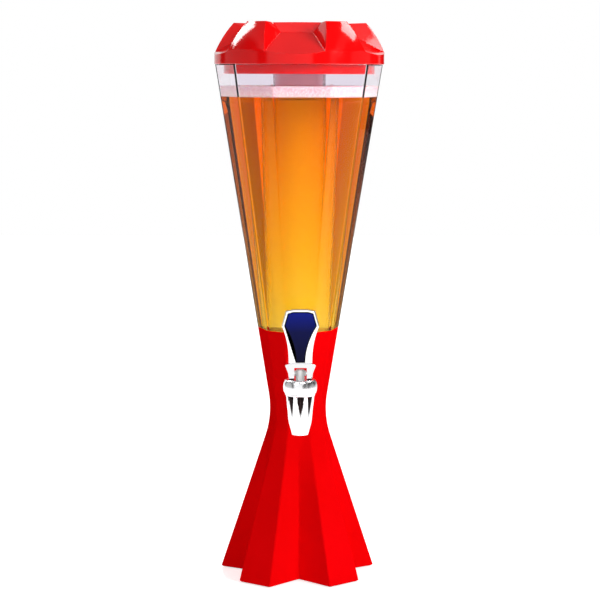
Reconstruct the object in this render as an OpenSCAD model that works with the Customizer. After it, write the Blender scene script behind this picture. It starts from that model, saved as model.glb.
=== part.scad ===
// Beer tower dispenser: a clear ten-sided tank on a pleated red pedestal, with an
// ice tube hung from the lid and a lever tap on the front. The front faces -Y.
// Millimetres, +Z up, origin on the floor under the middle of the tower.

/* [Tower] */
// Height of the pedestal's rim, where the clear tank begins
neck_top = 271; // [262:1:280]
// Height of the clear tank above the rim
tank_h = 284.6; // [260:0.2:330]
// Corner radius of the ten-sided body at the pedestal's rim
neck_r = 44.3; // [43:0.1:47]
// Growth of the corner radius for each millimetre of height, neck and tank
tank_taper = 0.1624; // [0.155:0.0001:0.17]
// Half the angle that each of the five lobes spans in the neck
lobe_half = 15; // [14:0.5:17]

/* [Pedestal] */
// Corner radius of the lobes at the floor
foot_r = 85.7; // [81:0.1:92]
// Radius of the valleys between the lobes at the floor
foot_valley_r = 48.6; // [45:0.1:54]
// Half the angle that each lobe spans at the floor
foot_half = 13.7; // [12:0.1:15]
// Slope of the flare: loss of corner radius for each millimetre of height
foot_taper = 0.3294; // [0.31:0.0001:0.345]
// Height where the pleats run out into flat facets
pleat_top = 147; // [128:1:149]
// Length of the rounded waist either side of its corner
waist_blend = 25; // [18:1:25]
// Wall of the pedestal
shell_wall = 3; // [2.4:0.1:3.4]
// Depth of the bevel along the bottom edge
foot_bevel = 1.2; // [0.6:0.1:2]

/* [Underside] */
// Thickness of the bottom cover
cover_t = 3; // [2:0.1:4]
// Height of the cover's underside above the floor
cover_lift = 2.2; // [1.6:0.1:3]
// Radius of the pads
pad_r = 7; // [5:0.1:8]
// Thickness of the pads
pad_t = 2.8; // [2.4:0.1:3.4]
// Place of the pads on the way from the ballast disc to the shell, as a share of it
pad_share = 0.67; // [0.64:0.01:0.7]
// Place of the cover's screws on the same way
screw_share = 0.323; // [0.3:0.001:0.34]
// Shank radius of the cover's screws
screw_r = 1.5; // [1.2:0.1:2]
// Head radius of the cover's screws
screw_head_r = 3; // [2.6:0.1:3.6]
// Length of the screws under the head
screw_len = 12; // [8:1:16]
// Distance of the ballast disc's edge inside the valleys' radius
ballast_in = 8.6; // [7:0.1:14]
// Thickness of the ballast disc
ballast_t = 9; // [6:1:14]

/* [Tank] */
// Wall of the tank
tank_wall = 3; // [2.4:0.1:3.4]
// Thickness of the tank's floor
tank_floor = 3.5; // [2.5:0.1:5]
// Depth of the tank's underside below the tap's shank
tank_drop = 21; // [18:0.5:23]
// Gap between the tank's lower end and the pedestal's wall
neck_fit = 0.4; // [0.3:0.05:0.6]

/* [Tap] */
// Distance of the tap's upright axis in front of the tower's axis
tap_out = 66; // [64:0.5:70]
// Depth of the tap's threaded shank below the pedestal's rim
shank_drop = 71; // [66:0.5:73]
// Radius of the threaded shank
shank_r = 6; // [5.4:0.1:6.4]
// Radius of the passage through the shank
shank_bore_r = 3.6; // [3:0.1:4]
// Gap around the shank in the walls that it goes through
shank_gap = 0.25; // [0.15:0.05:0.5]
// Rim of the round spot faces outside the inner washer
boss_rim = 1.3; // [0.8:0.1:1.6]
// Thickness of the two washers
washer_t = 2.2; // [1.6:0.1:3]
// Thickness of the nut inside the tank
nut_t = 6; // [5:0.5:7]
// Size of the nut across its flats
nut_af = 18; // [17:0.5:19]
// Thickness of the flange on the shank
flange_t = 3; // [2:0.1:4]
// Depth of the spout's mouth below the shank
spout_drop = 34.5; // [32:0.5:40]
// Radius of the spout at its mouth
spout_r = 8.8; // [8.2:0.1:9.2]
// Depth below the shank of the shoulder where the spout narrows faster
spout_knee_drop = 21.5; // [18:0.5:26]
// Radius at that shoulder
spout_knee_r = 12.2; // [11.6:0.1:12.8]
// Radius of the tap's body just below the bonnet
barrel_r = 16; // [15.4:0.1:16.6]
// Count of the pointed flutes round the body
flutes = 8; // [6:1:10]
// Radius of a flute at its wide upper end
flute_r = 4.6; // [3.6:0.1:5]
// Radius of the spout's outlet
outlet_r = 5.5; // [4.5:0.1:6]
// Radius of the valve chamber
chamber_r = 9; // [8.6:0.1:9.8]
// Depth of the valve seat below the shank
seat_drop = 9; // [7:0.5:11]

/* [Bonnet and valve] */
// Height of the bonnet's lower edge above the shank
bonnet_rise = 10; // [9:0.5:12]
// Height of the bonnet
bonnet_h = 15; // [13:0.5:18]
// Reach of the bonnet past the tap's body
bonnet_over = 2; // [1.4:0.1:2.6]
// Thickness of the bonnet's roof
bonnet_roof = 4; // [3:0.1:5]
// Radius of the white stem
stem_r = 4.8; // [4.4:0.1:5]
// Running gap round the stem and round the pin
run_gap = 0.05; // [0.02:0.01:0.1]
// Radius of the silicone plug
plug_r = 7.4; // [7:0.1:8]
// Height of the silicone plug
plug_h = 9; // [7:0.5:10]
// Wire radius of the return spring
wire_r = 0.6; // [0.5:0.05:0.8]
// Turns of the return spring
spring_turns = 5; // [4:1:6]

/* [Lever] */
// Height of the lever's pin above the bonnet
pin_rise = 6; // [5.5:0.1:7]
// Radius of the lever's pin
pin_r = 1.6; // [1.4:0.1:1.8]
// Lift of the stem over the lever's whole travel
stem_travel = 4; // [3:0.1:4.5]
// Travel of the lever in degrees
lever_travel = 50; // [40:1:55]
// Gap that the cam feet keep above the bonnet
cam_gap = 0.3; // [0.2:0.05:0.4]
// Space between the two legs of the fork
fork_gap = 13.2; // [12.8:0.1:13.6]
// Width of the fork at its feet
fork_foot_w = 24; // [22:0.5:26]
// Width of the fork across its flared ears
fork_ear_w = 32.4; // [30:0.2:34]
// Height of the fork's top above the pin
fork_rise = 11; // [10:0.5:13]
// Height of the handle above the fork
handle_h = 58; // [52:0.5:64]
// Length of the handle above its widest place
handle_tip_h = 17.5; // [14:0.5:22]
// Width of the handle at its foot
handle_foot_w = 24.8; // [23:0.2:27]
// Width of the handle at its widest place
handle_wide_w = 39.8; // [36:0.2:44]
// Width of the handle's top edge
handle_top_w = 30.8; // [28:0.2:34]
// Thickness of the handle
handle_t = 12; // [10:0.5:14]
// Bevel along the handle's edges
handle_bevel = 2; // [1:0.1:2.4]
// Width of the bright border round the inset
inset_border = 2.8; // [2.2:0.1:3.2]
// Width of the inset at its foot
inset_foot_w = 10; // [8:0.2:12]
// Depth of the pocket that holds the inset
inset_pocket = 2; // [1.4:0.1:2.6]
// Height that the inset's face stands proud of the handle
inset_proud = 0.8; // [0.4:0.1:1.4]

/* [Lid] */
// Reach of the lid's rim past the tank's corners
lid_over = 0.7; // [0.5:0.1:3.5]
// Height of the upright band of the rim
rim_h = 12.6; // [11:0.1:14]
// Height of the lid above the tank
lid_h = 44.4; // [43:0.1:47]
// Radius of the lobes' top edge
lobe_top_r = 72; // [70:0.5:74]
// Outward bulge of the lobes' sloping faces
lobe_bulge = 1.6; // [0.5:0.1:2.5]
// Drop of the lid's top between its middle and its recesses
crown = 1.4; // [0.4:0.1:2.4]
// Wall of the lid
lid_wall = 3; // [2.4:0.1:3.2]
// Half the width of a recess at the rim
recess_half = 31.1; // [28:0.1:32]
// Half the width of a recess at its inner end
recess_in_half = 16.9; // [15:0.1:18]
// Distance of a recess's inner end from the middle
recess_in_at = 49.6; // [48:0.1:52]
// Depth of a recess at its inner end
recess_in_d = 11.5; // [10:0.5:13]
// Depth of the ring that plugs into the tank
plug_ring_h = 10; // [7:0.5:14]
// Thickness of that ring
plug_ring_t = 2.5; // [2:0.1:3]
// Gap between that ring and the tank's wall
plug_ring_fit = 0.9; // [0.8:0.1:1.4]
// Turn of the lid from the pedestal's lobes, in degrees
lid_turn = -5; // [-6:0.5:6]

/* [Ice tube] */
// Outer radius of the ice tube
tube_r = 28.4; // [26:0.1:30]
// Wall of the ice tube
tube_wall = 2.5; // [2:0.1:3]
// Space between the ice tube's foot and the tank's flat walls
tube_clear = 5.2; // [4.6:0.1:17]
// Gap round the ice tube in the lid's socket
tube_gap = 0.3; // [0.3:0.05:0.6]
// Wall of the lid's socket
socket_wall = 3; // [2.4:0.1:4]
// Depth of the socket under the lid's roof
socket_h = 34; // [28:1:36]
// Thickness of the tube's seal
seal_t = 2; // [1.5:0.1:3]

/* [Hidden] */

$fn = 72;
lobes = 5;
lobe_step = 360 / lobes;
touch = 0.02;            // gap between pieces of one body that press on each other
cap = 20;                // how far a cutting body reaches past what it cuts

// ---- Heights and places that follow from the sizes above ----
tank_top = neck_top + tank_h;
shank_z = neck_top - shank_drop;
tank_bottom = shank_z - tank_drop;
spout_z = shank_z - spout_drop;
spout_knee_z = shank_z - spout_knee_drop;
seat_z = shank_z - seat_drop;
bonnet_z = shank_z + bonnet_rise;
bonnet_top = bonnet_z + bonnet_h;
pin_z = bonnet_top + pin_rise;
fork_top = pin_z + fork_rise;
handle_top = fork_top + handle_h;
handle_wide_z = handle_top - handle_tip_h;
washer_r = nut_af / 2 + 1.2;     // the inner washer reaches past the nut
boss_r = washer_r + boss_rim;
ballast_r = foot_valley_r - ballast_in;
foot_wall_r = foot_r * cos(foot_half) - shell_wall;
pad_at = mix(ballast_r, foot_wall_r, pad_share);
screw_at = mix(ballast_r, foot_wall_r, screw_share);
bonnet_r = barrel_r + bonnet_over;
body_neck_r = barrel_r - 3;

red = [0.86, 0.03, 0.04];
clear = [0.85, 0.9, 0.92, 0.35];
chrome = [0.8, 0.8, 0.82];
blue = [0.03, 0.04, 0.35];
steel = [0.6, 0.6, 0.62];
silicone = [0.85, 0.85, 0.85];
white = [0.96, 0.96, 0.95];
black = [0.08, 0.08, 0.08];

// ---- Shared geometry: rings of the pleated body, from the floor to the tank's top ----

// A point at radius r and azimuth a, counted from the front (-Y) towards +X
function polar(r, a, z) = [r * sin(a), -r * cos(a), z];
function mix(a, b, t) = a + (b - a) * t;
function unit(v) = v / norm(v);
function bezier(a, b, c, t) = (1 - t) * (1 - t) * a + 2 * t * (1 - t) * b + t * t * c;

// The flare and the neck are straight lines that meet at the waist's corner
neck_foot_r = neck_r - tank_taper * neck_top;
waist_z = (foot_r - neck_foot_r) / (tank_taper + foot_taper);
waist_r = foot_r - foot_taper * waist_z;
flare_end = [waist_r, waist_z] + waist_blend * unit([foot_taper, -1]);
neck_start = [waist_r, waist_z] + waist_blend * unit([tank_taper, 1]);
waist_steps = 10;
waist_curve = [for (i = [0:waist_steps])
    bezier(flare_end, [waist_r, waist_z], neck_start, i / waist_steps)];

lid_r = neck_r + tank_taper * tank_h + lid_over;

function lobe_r(z) =
    z <= flare_end[1] ? foot_r - foot_taper * z
    : z >= neck_start[1] ? neck_foot_r + tank_taper * z
    : lookup(z, [for (p = waist_curve) [p[1], p[0]]]);
function half_at(z) = z >= pleat_top ? lobe_half : mix(foot_half, lobe_half, z / pleat_top);
function chord_r(z) = lobe_r(z) * cos(lobe_step / 2 - half_at(z));
function valley_r(z) =
    z >= pleat_top ? chord_r(z) : mix(foot_valley_r, chord_r(pleat_top), z / pleat_top);

function ring(z) = [for (i = [0:lobes - 1]) each [
    polar(valley_r(z), lobe_step * i, z),
    polar(lobe_r(z), lobe_step * (i + 0.5) - half_at(z), z),
    polar(lobe_r(z), lobe_step * (i + 0.5) + half_at(z), z)]];

// Moves each edge of a level, counter-clockwise outline inwards by w
function inset(p, w) = let (n = len(p)) [for (i = [0:n - 1])
    let (d1 = unit(p[i] - p[(i + n - 1) % n]), d2 = unit(p[(i + 1) % n] - p[i]),
         n1 = [-d1[1], d1[0], 0], n2 = [-d2[1], d2[0], 0])
    p[i] + (n1 + n2) * w / (1 + n1 * n2)];
function at_z(p, z) = [for (q = p) [q[0], q[1], z]];
function middle(p) = [for (k = [0:2]) let (s = [for (q = p) q[k]]) (min(s) + max(s)) / 2];

// A closed body through outlines that have the same count of points
module skin(rings) {
    n = len(rings[0]);
    m = len(rings);
    points = concat([for (r = rings) each r], [middle(rings[0]), middle(rings[m - 1])]);
    sides = [for (k = [0:m - 2], i = [0:n - 1]) let (a = k * n + i, b = k * n + (i + 1) % n)
        each [[a, a + n, b + n], [a, b + n, b]]];
    ends = [for (i = [0:n - 1]) each [[m * n, i, (i + 1) % n],
        [m * n + 1, (m - 1) * n + (i + 1) % n, (m - 1) * n + i]]];
    polyhedron(points, concat(sides, ends), convexity = 6);
}

module at_lobes() { for (i = [0:lobes - 1]) rotate([0, 0, lobe_step * (i + 0.5)]) children(); }
// A rod along Y from y1 to y2 at the shank's height
module shank_rod(r, y1, y2) {
    translate([0, y2, shank_z]) rotate([90, 0, 0]) cylinder(r = r, h = y2 - y1);
}

// ---- Pedestal ----
shell_foot = cover_lift - 1.2;   // the shell's edge clears the floor, and the pads carry it
cover_top = cover_lift + cover_t;
post_r = 4.5;
post_h = 16;
rib_t = 2.4;
rib_h = 10;

// Heights between two others at which the waist's curve needs an outline
function body_heights(low, high) =
    concat([low], [for (p = waist_curve) if (p[1] > low + 1 && p[1] < high - 1) p[1]], [high]);
shell_heights = concat([shell_foot + foot_bevel], body_heights(pleat_top, neck_top));
shell_outside = concat([at_z(inset(ring(shell_foot), foot_bevel), shell_foot)],
    [for (z = shell_heights) ring(z)]);
shell_inside = concat([at_z(inset(ring(shell_foot), shell_wall), shell_foot - 1)],
    [for (z = shell_heights) inset(ring(z), shell_wall)],
    [at_z(inset(ring(neck_top + 1), shell_wall), neck_top + 1)]);

// The spot faces either side of the wall where the shank goes through
boss_reach = [for (k = [-1:0.25:1]) chord_r(shank_z + k * boss_r)];
boss_face = max(boss_reach) + 0.4;
wall_face = min(boss_reach) - shell_wall - 0.2;
tank_face = wall_face - touch;
wet_face = tank_face - tank_wall - 0.2;
shank_hole_r = shank_r + shank_gap;

module base_shell() {
    color(red) difference() {
        union() {
            difference() {
                skin(shell_outside);
                skin(shell_inside);
            }
            shank_rod(boss_r, -boss_face, -wall_face);
            intersection() {
                skin(shell_outside);
                at_lobes() cover_posts();
            }
        }
        shank_rod(shank_hole_r, -boss_face - cap, 0);
        at_lobes() translate([0, -screw_at, cover_top - 1])
            cylinder(r = screw_r + touch, h = screw_len + 2, $fn = 32);
    }
}

// A screw post stands on a rib from wall to wall of its lobe
module cover_posts() {
    translate([0, -screw_at, cover_top]) cylinder(r = post_r, h = post_h, $fn = 32);
    translate([-foot_r / 2, -screw_at - rib_t / 2, cover_top]) cube([foot_r, rib_t, rib_h]);
}

// ---- Underside ----
cover_gap = 0.3;
function cover_outline(z) = at_z(inset(ring(z), shell_wall + cover_gap), z);
pad_seat = pad_t - cover_lift;     // how far a pad sits up in the cover
screw_sink = 1.6;

module bottom_cover() {
    color(black) difference() {
        union() {
            skin([cover_outline(cover_lift), cover_outline(cover_top)]);
            difference() {
                cylinder(r = ballast_r + 2.6, h = cover_top + 3);
                translate([0, 0, -1]) cylinder(r = ballast_r + 0.4, h = cover_top + 5);
            }
        }
        cylinder(r = ballast_r + 3, h = 2 * cover_lift, center = true);
        at_lobes() {
            translate([0, -screw_at, 0]) {
                cylinder(r = screw_r + 0.2, h = cap, $fn = 32);
                cylinder(r = screw_head_r + 0.2, h = cover_lift + screw_sink, $fn = 32);
            }
            translate([0, -pad_at, 0]) cylinder(r = pad_r + 0.1, h = pad_t + touch, $fn = 48);
        }
    }
}

module cover_screws() {
    color(steel) at_lobes() translate([0, -screw_at, cover_lift + screw_sink - touch]) {
        cylinder(r = screw_r, h = screw_len, $fn = 32);
        mirror([0, 0, 1]) difference() {
            cylinder(r = screw_head_r, h = screw_sink - 0.2, $fn = 32);
            translate([0, 0, 0.6]) cross_slot();
        }
    }
}

module cross_slot() {
    for (a = [0, 90]) rotate([0, 0, a]) translate([-2, -0.35, 0]) cube([4, 0.7, 2]);
}

module foot_pads() {
    color(black) at_lobes() translate([0, -pad_at, 0]) rotate_extrude($fn = 48)
        polygon([[0, 0], [pad_r - 0.8, 0], [pad_r, 0.8], [pad_r, pad_t], [0, pad_t]]);
}

module ballast_disc() {
    color(steel) translate([0, 0, cover_top]) difference() {
        rotate_extrude() polygon([[0, 0], [ballast_r, 0], [ballast_r, ballast_t - 1],
            [ballast_r - 1, ballast_t], [0, ballast_t]]);
        translate([0, 0, -1]) cylinder(r = 5, h = ballast_t + 2, $fn = 32);
    }
}

// ---- Tank ----
// Below the shoulder the tank steps in by the pedestal's wall and slips into the neck
step_in = shell_wall + neck_fit;
shoulder = neck_top + touch;
tank_inside_bottom = tank_bottom + tank_floor;

module tank() {
    color(clear) difference() {
        union() {
            skin([ring(shoulder), ring(tank_top)]);
            skin([for (z = body_heights(tank_bottom, shoulder + 1)) inset(ring(z), step_in)]);
        }
        difference() {
            skin(concat(
                [for (z = body_heights(tank_inside_bottom, neck_top - 4))
                    inset(ring(z), step_in + tank_wall)],
                [for (z = [neck_top + 6, tank_top + 1]) inset(ring(z), tank_wall)]));
            shank_rod(boss_r, -boss_face, -wet_face);
        }
        shank_rod(boss_r + 0.3, -boss_face - cap, -tank_face);
        shank_rod(washer_r + 0.3, -wet_face, 0);
        shank_rod(shank_hole_r, -boss_face, 0);
    }
}

// ---- Tap, fixed pieces ----
flange_face = boss_face + washer_t + 2 * touch;
flange_back = flange_face + flange_t;
shank_end = wet_face - washer_t - nut_t - 3;
thread_top = bonnet_top - bonnet_roof - 0.4;

module tap_body() {
    color(chrome) difference() {
        union() {
            translate([0, -tap_out, 0]) difference() {
                rotate_extrude() polygon([[0, spout_z], [spout_r, spout_z],
                    [spout_r + 0.4, spout_z + 1.5], [spout_knee_r, spout_knee_z],
                    [barrel_r - 0.8, bonnet_z - 4], [barrel_r, bonnet_z - 1.2],
                    [barrel_r, bonnet_z - 0.4], [body_neck_r, bonnet_z - 0.4],
                    [body_neck_r, thread_top], [0, thread_top]]);
                for (i = [0:flutes - 1]) rotate([0, 0, 360 / flutes * i]) flute();
            }
            shank_rod(boss_r - 0.4, -flange_back, -flange_face);
            shank_rod(shank_r + 1.8, -tap_out + chamber_r, -flange_face);
            shank_rod(shank_r, -tap_out + chamber_r, -shank_end);
        }
        translate([0, -tap_out, 0]) {
            translate([0, 0, seat_z]) cylinder(r = chamber_r, h = cap * 2);
            translate([0, 0, spout_z - 1]) cylinder(r = outlet_r, h = cap * 2, $fn = 48);
            translate([0, 0, spout_z - 1])
                cylinder(r1 = spout_r - 1.4, r2 = outlet_r, h = 9, $fn = 48);
        }
        shank_rod(shank_bore_r, -tap_out, 0);
    }
}

// A pointed groove that follows the body's slope and opens under the bonnet
flute_h = bonnet_z - 2 - spout_knee_z;
flute_lean = atan((barrel_r - spout_knee_r) / (bonnet_z - spout_knee_z));
module flute() {
    translate([0, -spout_knee_r - 0.6, spout_knee_z]) rotate([flute_lean + 0.5, 0, 0])
        cylinder(r1 = 0.4, r2 = flute_r, h = flute_h, $fn = 32);
}

module outer_washer() {
    color(silicone) difference() {
        shank_rod(boss_r - 0.6, -flange_face + touch, -boss_face - touch);
        shank_rod(shank_r + 0.1, -flange_face - 1, 0);
    }
}

module inner_washer() {
    color(silicone) difference() {
        shank_rod(washer_r, -wet_face + touch, -wet_face + washer_t);
        shank_rod(shank_r + 0.1, -wet_face - 1, 0);
    }
}

module shank_nut() {
    nut_y = -wet_face + washer_t + touch;
    color(steel) difference() {
        translate([0, nut_y + nut_t, shank_z]) rotate([90, 0, 0])
            cylinder(r = nut_af / 2 / cos(30), h = nut_t, $fn = 6);
        shank_rod(shank_r + touch, nut_y - 1, nut_y + nut_t + 1);
    }
}

bonnet_skirt_r = body_neck_r + 0.1;
module bonnet() {
    color(chrome) translate([0, -tap_out, 0]) difference() {
        rotate_extrude() polygon(concat(
            [[0, bonnet_z], [bonnet_r - 1.6, bonnet_z], [bonnet_r - 0.5, bonnet_z + 2]],
            [for (a = [0:15:90]) [bonnet_r - 3.6 + 3.6 * cos(a),
                bonnet_top - 9 + 9 * sin(a)]],
            [[0, bonnet_top]]));
        translate([0, 0, bonnet_z - 1])
            cylinder(r = bonnet_skirt_r, h = bonnet_top - bonnet_roof - bonnet_z + 1);
        cylinder(r = stem_r + run_gap, h = bonnet_top + 1, $fn = 64);
        translate([0, 0, bonnet_top - bonnet_roof - 1]) cylinder(r = stem_r + seal_w, h = 1 + seal_d);
    }
}

// The seal ring sits in a pocket under the bonnet's roof, round the stem
seal_w = 2.2;
seal_d = 2;
module stem_seal() {
    color(silicone) translate([0, -tap_out, bonnet_top - bonnet_roof]) difference() {
        cylinder(r = stem_r + seal_w - touch, h = seal_d - touch);
        translate([0, 0, -1]) cylinder(r = stem_r + run_gap, h = seal_d + 2, $fn = 64);
    }
}

// ---- Valve and stem ----
plug_top = seat_z + plug_h;
stem_top = pin_z + 4.4;
spring_low = plug_top + touch;
spring_high = bonnet_top - bonnet_roof - touch;
spring_r = stem_r + wire_r + 0.7;

module stem() {
    color(white) translate([0, -tap_out, 0]) difference() {
        union() {
            rotate_extrude($fn = 64) polygon([[0, seat_z + 3], [stem_r - 1.6, seat_z + 3],
                [stem_r - 1.6, plug_top], [stem_r, plug_top], [stem_r, stem_top - 1],
                [stem_r - 1, stem_top], [0, stem_top]]);
            translate([-fork_gap / 2 + 0.4, 0, pin_z]) rotate([0, 90, 0])
                cylinder(r = pin_r + 1.4, h = fork_gap - 0.8, $fn = 48);
        }
        translate([0, 0, pin_z]) rotate([0, 90, 0])
            cylinder(r = pin_r + run_gap, h = cap * 2, center = true, $fn = 48);
    }
}

module seat_plug() {
    color(silicone) translate([0, -tap_out, 0]) difference() {
        rotate_extrude() polygon([[0, seat_z + touch], [outlet_r + 0.8, seat_z + touch],
            [plug_r, seat_z + 1.6], [plug_r, plug_top], [0, plug_top]]);
        translate([0, 0, seat_z + 3 - touch])
            cylinder(r = stem_r - 1.6 + touch, h = plug_h, $fn = 64);
    }
}

// An open coil whose ends lie flat on the plug and under the roof
spring_sides = 8;
spring_rings = 14 * spring_turns;
function spring_z(t) =
    mix(spring_low + wire_r, spring_high - wire_r, t * t * (3 - 2 * t));
function spring_loop(t) = [for (k = [0:spring_sides - 1])
    let (a = 360 * spring_turns * t, b = -360 / spring_sides * k, r = spring_r + wire_r * cos(b))
    [r * cos(a), r * sin(a), spring_z(t) - wire_r * sin(b)]];
module return_spring() {
    color(steel) translate([0, -tap_out, 0])
        skin([for (i = [0:spring_rings]) spring_loop(i / spring_rings)]);
}

// ---- Lever ----
module lever_pin() {
    color(chrome) translate([0, -tap_out, pin_z]) rotate([0, 90, 0])
        cylinder(r = pin_r, h = fork_foot_w - 1, center = true, $fn = 48);
}

// The feet are cams: their reach below the pin grows evenly as the lever turns, so the
// stem rises by the same amount for each degree and the feet keep their gap to the bonnet
cam_low = pin_z - bonnet_top - cam_gap;
cam_rate = stem_travel / lever_travel;               // millimetres for each degree
cam_arm = cam_rate * 180 / PI;
function cam_point(a) = let (p = cam_low + cam_rate * a)
    [-p * sin(a) - cam_arm * cos(a), -p * cos(a) + cam_arm * sin(a)];
cam_steps = 8;
fork_back = 5.4;
fork_front = 7.4;
cam_outline = concat([[fork_back, -cam_low + 1.2], [fork_back - 1.2, -cam_low]],
    [for (i = [0:cam_steps]) cam_point(lever_travel * i / cam_steps)],
    [[-fork_front, fork_top - pin_z], [fork_back, fork_top - pin_z]]);

module fork_side_view(w) {
    translate([-w / 2, -tap_out, pin_z]) rotate([90, 0, 90]) linear_extrude(w)
        polygon(cam_outline);
}

ear_z = fork_top - 3.4;
bridge_t = 4;
module lever_fork() {
    color(chrome) difference() {
        intersection() {
            fork_side_view(fork_ear_w + 2);
            rotate([90, 0, 0]) linear_extrude(tap_out * 2) polygon([
                [-fork_foot_w / 2, bonnet_top], [fork_foot_w / 2, bonnet_top],
                [fork_foot_w / 2 + 1, ear_z - 6], [fork_ear_w / 2, ear_z + 1.6],
                [fork_ear_w / 2 - 0.6, ear_z + 2.6], [handle_foot_w / 2, fork_top],
                [-handle_foot_w / 2, fork_top], [-fork_ear_w / 2 + 0.6, ear_z + 2.6],
                [-fork_ear_w / 2, ear_z + 1.6], [-fork_foot_w / 2 - 1, ear_z - 6]]);
        }
        translate([-fork_gap / 2, -tap_out - cap, bonnet_top - cap])
            cube([fork_gap, cap * 2, fork_top - bridge_t - bonnet_top + cap]);
        translate([0, -tap_out, pin_z]) rotate([0, 90, 0])
            cylinder(r = pin_r + touch, h = cap * 2, center = true, $fn = 48);
        translate([0, -tap_out, fork_top - bridge_t - 1])
            cylinder(r = stud_r + touch, h = bridge_t + 2, $fn = 32);
    }
}

// Half widths of the handle from its foot to its top, as [height, half width]
handle_foot = fork_top + touch;
function ease(t) = t * t * (3 - 2 * t);
function handle_half(z) = z <= handle_wide_z
    ? let (t = (z - handle_foot) / (handle_wide_z - handle_foot))
        mix(handle_foot_w, handle_wide_w, pow(t, 2.4)) / 2
    : mix(handle_wide_w, handle_top_w, (z - handle_wide_z) / (handle_top - 1.6 - handle_wide_z)) / 2;
handle_steps = 8;
handle_levels = concat(
    [for (i = [0:handle_steps]) mix(handle_foot, handle_wide_z, i / handle_steps)],
    [handle_top - 1.6]);
// Clockwise from above the front: up the right side, over the arched top, down the left
handle_outline = concat(
    [for (z = handle_levels) [handle_half(z), z, 0]],
    [[handle_top_w / 4, handle_top, 0], [-handle_top_w / 4, handle_top, 0]],
    [for (i = [len(handle_levels) - 1:-1:0]) [-handle_half(handle_levels[i]), handle_levels[i], 0]]);

// Stands a level outline up, so that its height runs along +Z and its depth towards the front
module stand_up(y) { translate([0, y, 0]) rotate([90, 0, 0]) children(); }

function inset_half(z) = z <= handle_wide_z
    ? let (t = (z - inset_foot) / (handle_wide_z - inset_foot))
        mix(inset_foot_w, handle_wide_w - 2 * inset_border, pow(t, 2.0)) / 2
    : handle_half(z) - inset_border;
inset_foot = handle_foot + 1.4;
inset_top = handle_top - inset_border;
inset_levels = concat(
    [for (i = [0:handle_steps]) mix(inset_foot, handle_wide_z, i / handle_steps)],
    [inset_top - 1.6]);
inset_outline = concat(
    [for (z = inset_levels) [inset_half(z), z, 0]],
    [[handle_top_w / 4, inset_top, 0], [-handle_top_w / 4, inset_top, 0]],
    [for (i = [len(inset_levels) - 1:-1:0]) [-inset_half(inset_levels[i]), inset_levels[i], 0]]);

handle_front = -tap_out - handle_t / 2;
stud_r = 3;
inset_gap = 0.1;

module handle() {
    color(chrome) {
        difference() {
            stand_up(-tap_out + handle_t / 2) skin([
                inset(handle_outline, handle_bevel),
                at_z(handle_outline, handle_bevel),
                at_z(handle_outline, handle_t - handle_bevel / 2),
                at_z(inset(handle_outline, handle_bevel / 2), handle_t)]);
            stand_up(handle_front + inset_pocket) skin([
                inset_outline, at_z(inset_outline, inset_pocket + 2)]);
        }
        translate([0, -tap_out, fork_top - bridge_t + 0.2])
            cylinder(r = stud_r, h = bridge_t + 1, $fn = 32);
    }
}

module handle_inset() {
    body = inset(inset_outline, inset_gap);
    color(blue) stand_up(handle_front + inset_pocket - touch) skin([
        body, at_z(body, inset_pocket), at_z(inset(body, 0.8), inset_pocket + inset_proud)]);
}

// ---- Lid ----
lid_top = tank_top + lid_h;
lid_foot = tank_top + touch;
rim_top = lid_foot + rim_h;
flange_h = 3;
corner_y = sqrt(lid_r * lid_r - recess_half * recess_half);

lobe_mid = [(lid_r + lobe_top_r) / 2, (rim_top + lid_top) / 2];
lobe_out = unit([lid_top - rim_top, lid_r - lobe_top_r]);
lobe_curve = [for (i = [0:6])
    bezier([lid_r, rim_top], lobe_mid + 2 * lobe_bulge * lobe_out, [lobe_top_r, lid_top], i / 6)];

// The recess's floor falls from its inner end to the rim, and its walls lean inwards
recess_lean = 5;     // how much narrower a recess's top is at its inner end
recess_rise = 7;     // length that its inner end slopes over
module recess(grow) {
    drop = grow * 1.15;
    fall = (rim_top + 0.5 - (lid_top - recess_in_d)) / (corner_y - recess_in_at);
    spread = (recess_half - recess_in_half) / (corner_y - recess_in_at);
    out_y = lid_r + 8;
    out_half = recess_half + spread * (out_y - corner_y);
    out_z = rim_top + 0.5 + fall * (out_y - corner_y);
    shoulder_y = sqrt(lobe_top_r * lobe_top_r - recess_half * recess_half);
    brim = lid_top + 0.3;
    over = lid_top + 4;
    side = [
        [out_half + grow, -out_y, out_z - drop],
        [recess_in_half + grow, -recess_in_at + grow, lid_top - recess_in_d - drop],
        [recess_half + grow, -shoulder_y, brim],
        [recess_half - recess_lean + grow, -recess_in_at + recess_rise + grow, brim],
        [recess_half + grow, -shoulder_y, over],
        [recess_half - recess_lean + grow, -recess_in_at + recess_rise + grow, over],
        [recess_half + grow, -out_y, over]];
    n = len(side);
    points = concat(side, [for (p = side) [-p[0], p[1], p[2]]]);
    right = [[0, 2, 1], [1, 2, 3], [2, 5, 3], [2, 4, 5], [0, 6, 2], [2, 6, 4]];
    left = [for (f = right) [f[0] + n, f[2] + n, f[1] + n]];
    across = [[1, 3 + n, 1 + n], [1, 3, 3 + n], [3, 5 + n, 3 + n], [3, 5, 5 + n],
        [0, 1 + n, n], [0, 1, 1 + n], [0, 6 + n, 6], [0, n, 6 + n],
        [4, 5 + n, 5], [4, 4 + n, 5 + n], [6, 4 + n, 4], [6, 6 + n, 4 + n]];
    polyhedron(points, concat(right, left, across), convexity = 4);
}

module at_recesses() { for (i = [0:lobes - 1]) rotate([0, 0, lobe_step * i]) children(); }

socket_r = tube_r + tube_gap;
roof_z = lid_top - crown - lid_wall;
socket_foot = roof_z - socket_h;
// The plug ring is round and clears the tank's flat walls at its lower edge
plug_ring_r = chord_r(lid_foot - plug_ring_h) - tank_wall - plug_ring_fit;

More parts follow.
